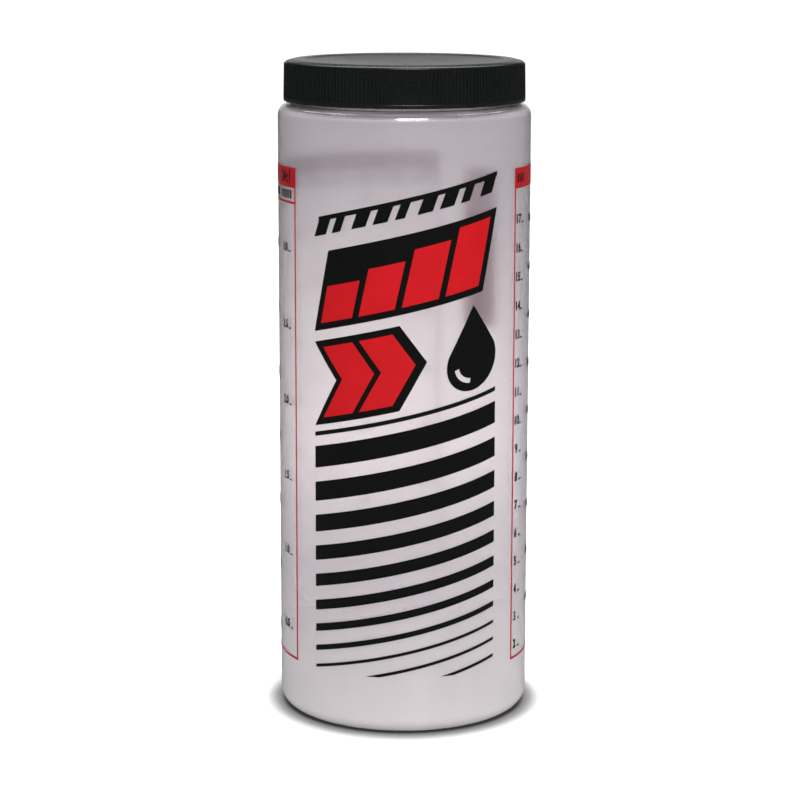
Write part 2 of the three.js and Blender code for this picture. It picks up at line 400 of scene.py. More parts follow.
@dataclass(frozen=True)
class PaleFloor(Finish):
    """White table top with a painted shadow: a dark seat round the jar's foot, drawn from ambient
    occlusion.

    The camera sees a glowing white with a painted shadow, darker within reach of the jar, which is in
    metres, and the matt part adds the real shadow on top. Other rays see plain tones, and the floor
    that the gloss mirrors is dark, as in a room.
    """

    name: str = "pale_floor"
    # Painted shadow: how far round the jar the occlusion reaches, and how dark its stops paint the
    # floor.
    reach: float = 0.010
    seat: tuple[Point, ...] = ((0.30, 0.03), (0.62, 0.25), (0.86, 0.80), (0.99, 1.0))
    glow: float = 0.82
    matt: float = 0.62
    plain_tone: float = 0.90
    mirror_tone: float = 0.16

    def surface(self, pen: Pen) -> bpy.types.Node:
        """Mixes what the camera sees with what the other rays see.

        Args:
            pen: The writer of the material's tree.

        Returns:
            The mixed shader.
        """
        # Painted shadow: ambient occlusion darkens the glow and the matt colour close to the jar.
        open_sky = pen.value("ShaderNodeAmbientOcclusion", "AO", {"Distance": self.reach}, samples=16)
        painted_shadow_tone = pen.ramp(open_sky, self.seat)
        glow = pen.node("ShaderNodeEmission", {"Color": painted_shadow_tone, "Strength": self.glow})
        matt = pen.node("ShaderNodeBsdfDiffuse", {"Color": pen.blend(self.matt, grey(0.0), painted_shadow_tone)})
        shown = pen.node("ShaderNodeAddShader", {0: glow.outputs[0], 1: matt.outputs[0]})
        path = pen.node("ShaderNodeLightPath")
        through = Value(pen, path.outputs["Is Transmission Ray"])
        mirrored = Value(pen, path.outputs["Is Glossy Ray"]) * (1.0 - through)
        plain = pen.node("ShaderNodeBsdfDiffuse", {
            "Color": pen.blend(mirrored, grey(self.plain_tone), grey(self.mirror_tone))})
        return pen.mix(path.outputs["Is Camera Ray"], plain, shown)


def arc(centre: Point, size: Point | float, start: float, end: float, steps: int) -> Outline:
    """Points on an arc or part of an ellipse.

    Args:
        centre: The centre.
        size: The radius, or the two half axes.
        start: The first angle in degrees.
        end: The last angle in degrees.
        steps: The number of steps between them.

    Returns:
        The points, both ends included.
    """
    wide, tall = size if isinstance(size, tuple) else (size, size)
    made = []
    for step in range(steps + 1):
        angle = math.radians(start + (end - start) * step / steps)
        made.append((centre[0] + wide * math.cos(angle), centre[1] + tall * math.sin(angle)))
    return made


def revolve(name: str, profile: Outline, angles: Sequence[float],
            swell: Callable[[float, float, float], float] | None = None) -> Object:
    """Turns a closed profile, or one that ends on the axis, about +Z.

    Args:
        name: The new object's name.
        profile: Points of radius and height in millimetres.
        angles: The angles of the sections in radians, from the front towards +X.
        swell: Gives the radius to add at an angle, radius and height, in millimetres.

    Returns:
        The object, in metres.
    """
    bm = bmesh.new()
    rings: list[list[bmesh.types.BMVert]] = []
    for radius, height in profile:
        if radius < 1e-6:
            rings.append([bm.verts.new((0.0, 0.0, height * MM))])
            continue
        ring = []
        for angle in angles:
            grown = radius + (swell(angle, radius, height) if swell else 0.0)
            place = (grown * math.sin(angle) * MM, -grown * math.cos(angle) * MM, height * MM)
            ring.append(bm.verts.new(place))
        rings.append(ring)
    pairs = list(zip(rings, rings[1:]))
    if len(rings[0]) > 1:
        pairs.append((rings[-1], rings[0]))
    count = len(angles)
    for low, high in pairs:
        for i in range(count):
            j = (i + 1) % count
            corners = [low[i % len(low)], low[j % len(low)], high[j % len(high)], high[i % len(high)]]
            unique = list(dict.fromkeys(corners))
            if len(unique) > 2:
                bm.faces.new(unique)
    return finish_mesh(name, bm, smooth=True)


def finish_mesh(name: str, bm: bmesh.types.BMesh, smooth: bool) -> Object:
    """Turns a working mesh into an object at the origin.

    Args:
        name: The new object's name.
        bm: The working mesh, which is freed.
        smooth: Whether its faces are shaded smooth between sharp edges.

    Returns:
        The object.
    """
    bmesh.ops.recalc_face_normals(bm, faces=bm.faces)
    mesh = bpy.data.meshes.new(name)
    bm.to_mesh(mesh)
    bm.free()
    if smooth:
        mesh.shade_smooth()
        mesh.set_sharp_from_angle(angle=math.radians(38.0))
    made = bpy.data.objects.new(name, mesh)
    bpy.context.scene.collection.objects.link(made)
    return made


def take_mesh(piece: Object) -> Mesh:
    """Takes a helper object's mesh and removes the object.

    Args:
        piece: The helper object.

    Returns:
        Its mesh.
    """
    mesh = piece.data
    bpy.data.objects.remove(piece)
    return mesh


def dress(piece: Object, body: Body, material: Material,
          nodes: Iterable[str] = ()) -> None:
    """Gives a piece its material, its body and the solids that it stands for.

    Args:
        piece: The finished piece.
        body: The body that it moves with.
        material: Its material.
        nodes: The CAD nodes that it replaces.
    """
    piece.data.materials.clear()
    piece.data.materials.append(material)
    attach(piece, body.value)
    if nodes:
        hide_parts(*nodes)
    LOG.info("%s: %d faces on %s", piece.name, len(piece.data.polygons), body.value)


@dataclass
class NodePattern:
    """A Geometry Nodes tree that makes a repeated or swept form.

    Args:
        name: The tree's name.
        sizes: The named inputs and their values.
        material: The material that the tree sets.
    """

    name: str
    sizes: dict[str, float | int]
    material: Material
    tree: bpy.types.NodeTree = field(init=False)
    pen: Pen = field(init=False)
    source: bpy.types.Node = field(init=False)

    def __post_init__(self) -> None:
        """Makes the empty tree with its named inputs."""
        self.tree = bpy.data.node_groups.new(self.name, "GeometryNodeTree")
        sockets = self.tree.interface
        sockets.new_socket("Geometry", in_out="INPUT", socket_type="NodeSocketGeometry")
        for key, value in self.sizes.items():
            kind = "NodeSocketInt" if isinstance(value, int) else "NodeSocketFloat"
            sockets.new_socket(key, in_out="INPUT", socket_type=kind)
        sockets.new_socket("Geometry", in_out="OUTPUT", socket_type="NodeSocketGeometry")
        self.pen = Pen(self.tree)
        self.source = self.pen.node("NodeGroupInput")

    def size(self, key: str) -> Value:
        """One of the tree's named inputs."""
        return Value(self.pen, self.source.outputs[key])

    def point(self, x: Any, y: Any, z: Any) -> Socket:
        """A vector from three numbers."""
        return self.pen.node("ShaderNodeCombineXYZ", {0: x, 1: y, 2: z}).outputs[0]

    def moved(self, geometry: Socket, **how: Any) -> Socket:
        """Moves, turns or scales geometry."""
        return self.pen.node("GeometryNodeTransform", {"Geometry": geometry, **how}).outputs[0]

    def copies(self, points: Socket, shape: Socket, turn: Any = (0.0, 0.0, 0.0)) -> Socket:
        """Puts one copy of a shape on each point."""
        return self.pen.node("GeometryNodeInstanceOnPoints", {
            "Points": points, "Instance": shape, "Rotation": turn}).outputs[0]

    def sweep(self, curve: Socket, growth: Value, upright: str, sides: int,
              wide: Any, tall: Any) -> Socket:
        """Sweeps an oval section along a curve.

        Args:
            curve: The curve.
            growth: The section's scale along it.
            upright: How the section is kept from twisting.
            sides: The number of points round the section.
            wide: Half the section's width.
            tall: Half its height.

        Returns:
            The swept mesh, with closed ends.
        """
        pen = self.pen
        grown = pen.node("GeometryNodeSetCurveRadius", {"Curve": curve, "Radius": growth})
        held = pen.node("GeometryNodeSetCurveNormal", {"Curve": grown.outputs[0]}, mode=upright)
        ring = pen.node("GeometryNodeCurvePrimitiveCircle", {"Resolution": sides, "Radius": 1.0})
        section = self.moved(ring.outputs[0], Scale=self.point(wide, tall, 1.0))
        return pen.node("GeometryNodeCurveToMesh", {
            "Curve": held.outputs[0], "Profile Curve": section, "Fill Caps": True}).outputs[0]

    def make(self, name: str, geometry: Socket) -> Object:
        """Ends the tree and turns its result into a plain mesh.

        Args:
            name: The new object's name.
            geometry: The geometry to realise.

        Returns:
            The object, at the origin.
        """
        real = self.pen.node("GeometryNodeRealizeInstances", {"Geometry": geometry})
        coated = self.pen.node("GeometryNodeSetMaterial", {
            "Geometry": real.outputs[0], "Material": self.material})
        self.pen.node("NodeGroupOutput", {0: coated.outputs[0]})
        made = bpy.data.objects.new(name, bpy.data.meshes.new(name))
        bpy.context.scene.collection.objects.link(made)
        modifier = made.modifiers.new("pattern", "NODES")
        modifier.node_group = self.tree
        for item in self.tree.interface.items_tree:
            if item.in_out == "INPUT" and item.name in self.sizes:
                modifier[item.identifier] = self.sizes[item.name]
        bpy.context.view_layer.update()
        result = made.evaluated_get(bpy.context.evaluated_depsgraph_get())
        plain = bpy.data.meshes.new_from_object(result)
        made.modifiers.clear()
        made.data = plain
        return made


@dataclass(frozen=True)
class Thread:
    """A right-handed thread ridge with faded ends.

    Sizes are in millimetres. The radius is the spiral's, and start is the height of its lower end.
    """

    radius: float
    depth: float
    half_width: float
    turns: float
    start: float
    pitch: float = 4.2333
    fade: float = 9.0
    steps: int = 96
    sides: int = 10

    def build(self, name: str, material: Material) -> Object:
        """Sweeps the ridge along its spiral.

        Args:
            name: The new object's name.
            material: Its material.

        Returns:
            The ridge as a plain mesh.
        """
        pattern = NodePattern(name, {
            "Radius": self.radius * MM, "Depth": self.depth * MM, "Half Width": self.half_width * MM,
            "Rise": self.pitch * self.turns * MM, "Turns": self.turns, "Start": self.start * MM,
            "Steps": self.steps,
        }, material)
        pen = pattern.pen
        spiral = pen.node("GeometryNodeCurveSpiral", {
            "Resolution": pattern.size("Steps"), "Rotations": pattern.size("Turns"),
            "Start Radius": pattern.size("Radius"), "End Radius": pattern.size("Radius"),
            "Height": pattern.size("Rise")})
        along = pen.value("GeometryNodeSplineParameter", "Factor")
        growth = (along * self.fade).least((1.0 - along) * self.fade).least(1.0)
        ridge = pattern.sweep(spiral.outputs[0], growth, "Z_UP", self.sides,
                              pattern.size("Depth"), pattern.size("Half Width"))
        made = pattern.make(name, pattern.moved(
            ridge, Translation=pattern.point(0.0, 0.0, pattern.size("Start"))))
        made.data.shade_smooth()
        return made


@dataclass
class Jar:
    """The blown jar with its neck finish.

    Sizes are in millimetres and angles in degrees. The throat's points are measured outwards from
    the bore and upwards from the shoulder.
    """

    radius: float = 35.5
    wall: float = 1.4
    shoulder: float = 172.85
    shoulder_fillet: float = 3.0
    shoulder_rise: float = 0.2
    heel: float = 3.8
    ring: float = 2.0
    push_up: float = 2.6
    floor: float = 1.5
    band: float = 14.0
    bands: int = 12
    neck_radius: float = 30.0
    neck_wall: float = 1.8
    neck_height: float = 7.5
    neck_foot: float = 0.4
    rim_round: float = 0.4
    collar_radius: float = 32.2
    collar_height: float = 0.35
    collar_foot: float = 0.15
    collar_round: float = 0.12
    throat: tuple[Point, ...] = ((0.0, 1.2), (0.1, -0.1), (0.6, -0.8))
    thread_sink: float = 0.15
    thread_start: float = 1.5
    seam: float = 0.05
    seam_width: float = 0.22
    section: float = 2.0
    seam_section: float = 0.12

    def collar_top(self) -> float:
        """The height of the collar under the cap."""
        return self.shoulder + self.shoulder_rise + self.collar_height

    def outside(self) -> Outline:
        """The outer section, from the middle of the base up to the sealing rim.

        Returns:
            Points of radius and height.
        """
        heel_at = self.radius - self.heel
        crest, springing = self.radius - self.shoulder_fillet, self.shoulder - self.shoulder_fillet
        collar = self.collar_top()
        rim = collar + self.neck_height - self.rim_round
        foot, edge, root = self.collar_foot, self.collar_round, self.neck_foot
        made = arc((0, 0), (heel_at - self.ring, self.push_up), 90, 0, 14)
        made += arc((heel_at, self.heel), self.heel, -90, 0, 12)
        made += [(self.radius, self.heel + self.band * i) for i in range(1, self.bands)]
        made += arc((crest, springing), self.shoulder_fillet, 0, 90, 14)
        seat = self.shoulder + self.shoulder_rise
        made += arc((self.collar_radius + foot, seat + foot), foot, 270, 180, 3)
        made += arc((self.collar_radius - edge, collar - edge), edge, 0, 90, 3)
        made += arc((self.neck_radius + root, collar + root), root, 270, 180, 4)
        return made + arc((self.neck_radius - self.rim_round, rim), self.rim_round, 0, 90, 5)

    def inside(self) -> Outline:
        """The inner section, from the sealing rim down to the middle of the floor.

        Returns:
            Points of radius and height.
        """
        heel_at = self.radius - self.heel
        crest, springing = self.radius - self.shoulder_fillet, self.shoulder - self.shoulder_fillet
        rim = self.collar_top() + self.neck_height - self.rim_round
        bore = self.neck_radius - self.neck_wall
        inner_heel = self.heel - self.wall
        made = arc((bore + self.rim_round, rim), self.rim_round, 90, 180, 5)
        made += [(bore + out, self.shoulder + up) for out, up in self.throat]
        made += arc((crest, springing), self.shoulder_fillet - self.wall, 90, 0, 10)
        made += [(self.radius - self.wall, springing - self.band * i) for i in range(1, self.bands)]
        made += arc((heel_at, self.floor + inner_heel), inner_heel, 0, -90, 8)
        return made + arc((0, self.floor), (heel_at - self.ring, self.push_up), 0, 90, 12)

    def angles(self) -> list[float]:
        """The section angles, closer together at the two parting lines.

        Returns:
            The angles in radians.
        """
        even = [i * self.section for i in range(180)]
        fine = [side + step * self.seam_section for side in (90.0, 270.0) for step in range(-8, 9)]
        return [math.radians(a) for a in sorted(set(round(a, 4) for a in even + fine))]

    def seam_swell(self, angle: float, radius: float, height: float) -> float:
        """The fine ridge that the mould's joint leaves on the outside.

        Args:
            angle: The section's angle in radians.
            radius: The point's radius.
            height: The point's height.

        Returns:
            The radius to add.
        """
        on_heel = height < self.heel and radius > self.radius - self.heel
        if not on_heel and radius <= self.radius - 0.01:
            return 0.0
        away = min(abs(angle - math.pi / 2), abs(angle - 3 * math.pi / 2)) * radius
        return self.seam * math.exp(-((away / self.seam_width) ** 2))

    def build(self, frosted: Material) -> None:
        """Makes the jar and its thread.

        Args:
            frosted: The jar's material.
        """
        wall = revolve("jar_wall", self.outside() + self.inside(), self.angles(), self.seam_swell)
        dress(wall, Body.JAR, frosted, ["bottle"])
        thread = Thread(radius=self.neck_radius - self.thread_sink, depth=1.2, half_width=1.05,
                        turns=1.05, start=self.collar_top() + self.thread_start)
        dress(thread.build("neck_thread", frosted), Body.JAR, frosted)


@dataclass
class Cap:
    """The screw cap and the foam disc inside it.

    Sizes are in millimetres. The lip's points are measured from the dish's edge and the top, and
    the gate's from the axis and the dish's floor.
    """

    bottom: float = 173.7
    ceiling: float = 182.5
    dish_floor: float = 183.7
    top: float = 185.2
    skirt_inner: float = 31.5
    skirt_wall: float = 1.9
    ceiling_round: float = 0.3
    ceiling_edge: float = 0.1
    foot_inner_round: float = 0.35
    foot_outer_round: float = 0.25
    foot_crown: float = 0.4
    foot_drop: float = 0.35
    foot_gap: float = 0.12
    hairline: float = 0.02
    rib_end: float = 0.1
    edge_round: Point = (0.75, 0.6)
    edge_drop: float = 1.0
    bevel: Point = (1.0, 0.30)
    rim_lead: Point = (0.3, 0.06)
    dish_radius: float = 27.75
    dish_lip: float = 0.2
    dish_steps: int = 14
    rim_outer: float = 31.05
    lip: tuple[Point, ...] = ((0.75, 0.0), (0.4, -0.03), (0.15, -0.12))
    band_top: float = 1.05
    band_foot: float = 1.2
    foot_reach: float = 0.5
    rib_count: int = 192
    rib_height: float = 0.34
    rib_width: float = 0.72
    rib_fade: float = 14.0
    rib_root: float = 0.15
    rib_tip: float = 0.25
    rib_steps: int = 15
    rib_sides: int = 8
    draft: float = 0.018
    gate_radius: float = 0.9
    gate: tuple[Point, ...] = ((0.9, 0.0), (0.78, -0.25), (0.34, -0.25), (0.26, -0.08), (0.0, -0.05))
    liner_low: float = 181.2
    liner_high: float = 182.2
    liner_radius: float = 31.0
    liner_round: float = 0.2
    thread_sink: float = 0.15
    thread_start: float = 177.02

    def profile(self) -> Outline:
        """The closed section, from the ceiling's middle round to the top's middle.

        Returns:
            Points of radius and height.
        """
        inner, top, low = self.skirt_inner, self.top, self.bottom
        valley = inner + self.skirt_wall
        foot = valley + self.foot_reach
        rib_low, rib_high = low + self.band_foot, top - self.band_top
        lean = self.draft * (rib_high - rib_low)
        bend, crown = self.ceiling_round, self.foot_crown
        toe, heel = self.foot_inner_round, self.foot_outer_round
        made = [(0.0, self.ceiling), (inner - bend - self.ceiling_edge, self.ceiling)]
        made += arc((inner - bend, self.ceiling - bend), bend, 90, 0, 4)
        made += arc((inner + toe, low + toe), toe, 180, 270, 4)
        made += arc((foot - heel, low + heel), heel, 270, 360, 5)
        made += arc((foot - crown, rib_low - self.foot_drop), crown, 0, 80, 6)
        made += [(valley + lean - self.hairline, rib_low + self.foot_gap),
                 (valley - self.hairline, rib_high - self.rib_end)]
        made += arc((valley - self.edge_round[0], top - self.edge_drop), self.edge_round, 0, 60, 6)
        made += [(valley - self.bevel[0], top - self.bevel[1]),
                 (self.rim_outer + self.rim_lead[0], top - self.rim_lead[1]), (self.rim_outer, top)]
        made += [(self.dish_radius + out, top + up) for out, up in self.lip]
        depth = top - self.dish_floor - self.dish_lip
        for step in range(self.dish_steps):
            share = 1.0 - step / self.dish_steps
            radius = self.gate_radius + (self.dish_radius - self.gate_radius) * share
            made.append((radius, self.dish_floor + depth * (radius / self.dish_radius) ** 2))
        return made + [(out, self.dish_floor + up) for out, up in self.gate]

    def ribs(self, black: Material) -> Object:
        """The fine upright ribs round the skirt.

        Args:
            black: The cap's material.

        Returns:
            The ribs as one plain mesh.
        """
        valley = self.skirt_inner + self.skirt_wall
        low, high = self.bottom + self.band_foot, self.top - self.band_top
        pattern = NodePattern("cap_rib_pattern", {
            "Count": self.rib_count, "Top Radius": valley * MM,
            "Foot Radius": (valley + self.draft * (high - low)) * MM,
            "Bottom": (low - self.rib_root) * MM, "Top": high * MM,
            "Width": self.rib_width * MM, "Height": self.rib_height * MM,
        }, black)
        pen = pattern.pen
        line = pen.node("GeometryNodeCurvePrimitiveLine", {
            "Start": pattern.point(0.0, 0.0 - pattern.size("Foot Radius"), pattern.size("Bottom")),
            "End": pattern.point(0.0, 0.0 - pattern.size("Top Radius"), pattern.size("Top"))})
        path = pen.node("GeometryNodeResampleCurve", {
            "Curve": line.outputs[0], "Count": self.rib_steps})
        along = pen.value("GeometryNodeSplineParameter", "Factor")
        growth = ((1.0 - along).most(0.0) * self.rib_fade + self.rib_tip).least(1.0)
        rib = pattern.sweep(path.outputs[0], growth, "MINIMUM_TWIST", self.rib_sides,
                            pattern.size("Width") * 0.5, pattern.size("Height"))
        points = pen.node("GeometryNodePoints", {"Count": pattern.size("Count")})
        turn = pen.value("GeometryNodeInputIndex", 0) * (2.0 * math.pi) / pattern.size("Count")
        ring = pattern.copies(points.outputs[0], rib, pattern.point(0.0, 0.0, turn))
        made = pattern.make("cap_ribs", ring)
        made.data.shade_smooth()
        return made

    def build(self, black: Material, foam: Material) -> None:
        """Makes the cap, its ribs, its thread and its liner.

        Args:
            black: The cap's material.
            foam: The liner's material.
        """
        angles = [math.radians(i * 1.5) for i in range(240)]
        dress(revolve("cap_shell", self.profile(), angles), Body.CLOSURE, black, ["cap"])
        dress(self.ribs(black), Body.CLOSURE, black)
        thread = Thread(radius=self.skirt_inner + self.thread_sink, depth=1.15, half_width=0.8,
                        turns=0.78, start=self.thread_start)
        dress(thread.build("cap_thread", black), Body.CLOSURE, black)
        low, high, edge = self.liner_low, self.liner_high, self.liner_round
        side = arc((self.liner_radius - edge, low + edge), edge, 270, 360, 4)
        side += arc((self.liner_radius - edge, high - edge), edge, 0, 90, 4)
        disc = revolve("sealing_disc", [(0.0, low), *side, (0.0, high)], angles[::2])
        dress(disc, Body.LINER, foam, ["cap_liner"])


def holds(outline: Outline, point: Point) -> bool:
    """Whether a point lies in an outline.

    Args:
        outline: The outline.
        point: The point.

    Returns:
        True if it does.
    """
    x, z = point
    found = False
    for (ax, az), (bx, bz) in zip(outline, outline[1:] + outline[:1]):
        if (az > z) != (bz > z) and x < (bx - ax) * (z - az) / (bz - az) + ax:
            found = not found
    return found


def box_outline(left: float, right: float, low: float, high: float) -> Outline:
    """A level rectangle."""
    return [(left, low), (right, low), (right, high), (left, high)]


@dataclass
class Wall:
    """Carries flat artwork on to the round wall.

    Flat artwork is measured in millimetres: across the wall from the front centre, and up.
    """

    radius: float = 35.5
    lift: float = 0.03
    film: float = 0.06
    step: float = 1.0

    def wrap(self, bm: bmesh.types.BMesh) -> None:
        """Gives flat faces a thickness and rolls them round the wall.

        Args:
            bm: Flat faces in the XZ plane, in millimetres.
        """
        spans = [v.co.x for v in bm.verts]
        at = math.floor(min(spans) / self.step) * self.step
        while at < max(spans):
            bmesh.ops.bisect_plane(bm, geom=bm.verts[:] + bm.edges[:] + bm.faces[:],
                                   plane_co=(at, 0, 0), plane_no=(1, 0, 0), dist=1e-5)
            at += self.step
        grown = bmesh.ops.extrude_face_region(bm, geom=bm.faces[:], use_keep_orig=True)
        for item in grown["geom"]:
            if isinstance(item, bmesh.types.BMVert):
                item.co.y += self.film
        for vert in bm.verts:
            turn = vert.co.x / self.radius
            reach = self.radius + self.lift + vert.co.y
            vert.co = Vector((reach * math.sin(turn), -reach * math.cos(turn), vert.co.z)) * MM

    def field(self, name: str, outlines: Sequence[Outline], windows: Sequence[Outline] = ()) -> Object:
        """One piece of ink from flat outlines and their windows.

        Args:
            name: The new object's name.
            outlines: The outer edges.
            windows: The holes.

        Returns:
            The wrapped film.
        """
        bm = bmesh.new()
        for outline in outlines:
            edges = []
            for loop in [outline, *(w for w in windows if holds(outline, w[0]))]:
                verts = [bm.verts.new((x, 0.0, z)) for x, z in loop]
                edges += [bm.edges.new((a, b)) for a, b in zip(verts, verts[1:] + verts[:1])]
            bmesh.ops.triangle_fill(bm, use_beauty=True, use_dissolve=False, edges=edges)
        self.wrap(bm)
        return finish_mesh(name, bm, smooth=False)


@dataclass
class FrontPrint:
    """The slanted artwork on the front, in the jar's two inks.

    Sizes are in millimetres, and heights are at the middle of the front.
    """

    wall: Wall
    width: float = 54.8
    slope: float = 0.233
    base: float = 16.4
    top: float = 156.45
    gauge: float = 5.2
    gauge_bar: float = 1.3
    gauge_teeth: int = 9
    gauge_tilt: float = 1.6
    gauge_space: float = 4.6
    tooth: float = 0.68
    slim_tooth: float = 0.45
    level: float = 21.5
    level_lean: float = 5.0
    level_bars: int = 4
    level_step: float = 2.6
    level_space: float = 2.9
    border: float = 1.9
    badge: float = 23.5
    chevrons: int = 2
    chevron_width: float = 9.4
    chevron_point: float = 7.5
    drop_width: float = 16.0
    glint_reach: float = 0.72
    glint_width: float = 0.16
    rule_space: float = 1.8
    rule: float = 1.2
    stripe_space: float = 2.9
    stripe: float = 6.1
    stripe_last: float = 0.9
    stripe_count: int = 9
    stripe_gap: float = 4.0

    def half(self) -> float:
        """Half the width of the artwork."""
        return self.width / 2

    def slant(self, outline: Outline) -> Outline:
        """Leans flat artwork up towards the right."""
        return [(x, z + self.slope * x) for x, z in outline]

    def leaning(self, left: float, right: float, low: float, high: float, lean: float) -> Outline:
        """A bar that leans to the right."""
        return [(left, low), (right, low), (right + lean, high), (left + lean, high)]

    def gauge_strip(self, top: float) -> Outline:
        """A slanted bar with leaning teeth, like the edge of a rule.

        Args:
            top: The height of its upper edge.

        Returns:
            The outline, still level.
        """
        pitch = self.width / self.gauge_teeth
        root = top - self.gauge_bar
        foot = top - self.gauge
        made = [(-self.half() + self.gauge_tilt, top)]
        for i in range(self.gauge_teeth):
            left = -self.half() + pitch * i
            width = pitch * (self.slim_tooth if i % 3 == 1 else self.tooth)
            lean = min(self.gauge_tilt, pitch - width - 0.2)
            right = left + width
            made += [(left + lean, root), (left, foot), (right, foot), (right + lean, root)]
        return made + [(self.half(), root), (self.half(), top)]

    def level_parts(self, top: float) -> tuple[Outline, list[Outline]]:
        """The level emblem.

        Args:
            top: The height of its upper edge.

        Returns:
            The black plate, and its red bars.
        """
        low = top - self.level
        tall = self.level - self.border * 2
        width = (self.width - self.level_lean - self.border * (self.level_bars + 1)) / self.level_bars
        shift = self.level_lean * self.border / self.level
        bars = []
        for i in range(self.level_bars):
            left = -self.half() + self.border + (width + self.border) * i + shift
            height = tall - self.level_step * (self.level_bars - 1 - i)
            bars.append(self.leaning(left, left + width, low + self.border, low + self.border + height,
                                     self.level_lean * height / self.level))
        plate = self.leaning(-self.half(), self.half() - self.level_lean, low, top, self.level_lean)
        return plate, bars

    def chevron(self, left: float, width: float, low: float, high: float, point: float) -> Outline:
        """A chevron that points to the right.

        Args:
            left: Its left end.
            width: Its width along an arm's edge.
            low: Its lower edge.
            high: Its upper edge.
            point: How far its point stands out.

        Returns:
            The outline.
        """
        middle = (low + high) / 2
        return [(left, low), (left + width, low), (left + width + point, middle),
                (left + width, high), (left, high), (left + point, middle)]

    def chevron_parts(self, top: float) -> tuple[Outline, list[Outline]]:
        """The chevron emblem.

        Args:
            top: The height of its upper edge.

        Returns:
            The black plate, and the red chevrons in it.
        """
        low = top - self.badge
        point = self.chevron_point * (self.badge - self.border * 2) / self.badge
        rise = self.chevron_point * self.border * 2 / self.badge
        width = self.chevron_width * self.chevrons + self.border * (self.chevrons + 1)
        plate = self.chevron(-self.half(), width + rise, low, top, self.chevron_point)
        made = []
        for i in range(self.chevrons):
            left = -self.half() + self.border + rise + (self.chevron_width + self.border) * i
            made.append(self.chevron(left, self.chevron_width, low + self.border,
                                     top - self.border, point))
        return plate, made

    def drop_parts(self, top: float) -> tuple[Outline, Outline]:
        """The drop of fuel.

        Args:
            top: The height of its tip.

        Returns:
            The drop, and the curved glint in it.
        """
        radius = self.drop_width / 2
        centre = (self.half() - radius, top - self.badge + radius)
        outline = arc(centre, radius, -205, 25, 44) + [(centre[0], top)]
        outer = arc(centre, radius * self.glint_reach, 190, 260, 14)
        inner = arc(centre, radius * (self.glint_reach - self.glint_width), 260, 190, 14)
        return outline, outer + inner

    def clip(self, outline: Outline, level: float) -> Outline:
        """Keeps what lies above a level edge.

        Args:
            outline: The outline to cut.
            level: The height of the edge.

        Returns:
            The outline that is left.
        """
        made: Outline = []
        for (ax, az), (bx, bz) in zip(outline, outline[1:] + outline[:1]):
            if az >= level:
                made.append((ax, az))
            if (az - level) * (bz - level) < 0:
                share = (az - level) / (az - bz)
                made.append((ax + (bx - ax) * share, level))
        return made

    def stripes(self, top: float) -> list[Outline]:
        """Slanted stripes that thin out downwards and end on a level line.

        Args:
            top: The height of the first one's upper edge.

        Returns:
            The slanted outlines.
        """
        made = []
        edge = top
        half = self.half()
        while edge + self.slope * half > self.base + self.stripe_gap:
            share = min(len(made) / (self.stripe_count - 1), 1.0)
            height = self.stripe + (self.stripe_last - self.stripe) * share
            flat = self.slant(box_outline(-half, half, edge - height, edge))
            made.append(self.clip(flat, self.base))
            edge -= height + self.stripe_gap
        return made

    def build(self, black: Material, red: Material) -> None:
        """Prints the front.

        Args:
            black: The black ink.
            red: The red ink.
        """
        half = self.half()
        art = self.top - self.slope * half
        level = art - self.gauge - self.gauge_space
        badge = level - self.level - self.level_space
        rule = badge - self.badge - self.rule_space
        level_plate, bars = self.level_parts(level)
        chevron_plate, chevrons = self.chevron_parts(badge)
        drop, glint = self.drop_parts(badge)
        line = box_outline(-half, half, rule - self.rule, rule)
        rows = self.stripes(rule - self.rule - self.stripe_space)
        bars, chevrons = ([self.slant(shape) for shape in shapes] for shapes in (bars, chevrons))
        ink, tint = (Slot.BLACK_INK, black), (Slot.RED_INK, red)
        for name, outlines, windows, (slot, material), nodes in (
                ("gauge_print", [self.slant(self.gauge_strip(art))], [], ink, ["gauge_strip"]),
                ("level_plate_print", [self.slant(level_plate)], bars, ink, ["level_plate"]),
                ("level_bar_print", bars, [], tint, numbered("level_bar", bars)),
                ("chevron_plate_print", [self.slant(chevron_plate)], chevrons, ink, ["chevron_plate"]),
                ("chevron_print", chevrons, [], tint, numbered("chevron", chevrons)),
                ("drop_print", [self.slant(drop)], [self.slant(glint)], ink, ["fuel_drop"]),
                ("rule_print", [self.slant(line)], [], ink, ["rule_line"]),
                ("stripe_print", rows, [], ink, numbered("stripe", rows))):
            dress(self.wall.field(name, outlines, windows), Body.JAR, material, nodes)


def numbered(name: str, shapes: Sequence[Outline]) -> list[str]:
    """The names of a row of CAD nodes, one for each shape."""
    return [f"{name}_{i + 1}" for i in range(len(shapes))]


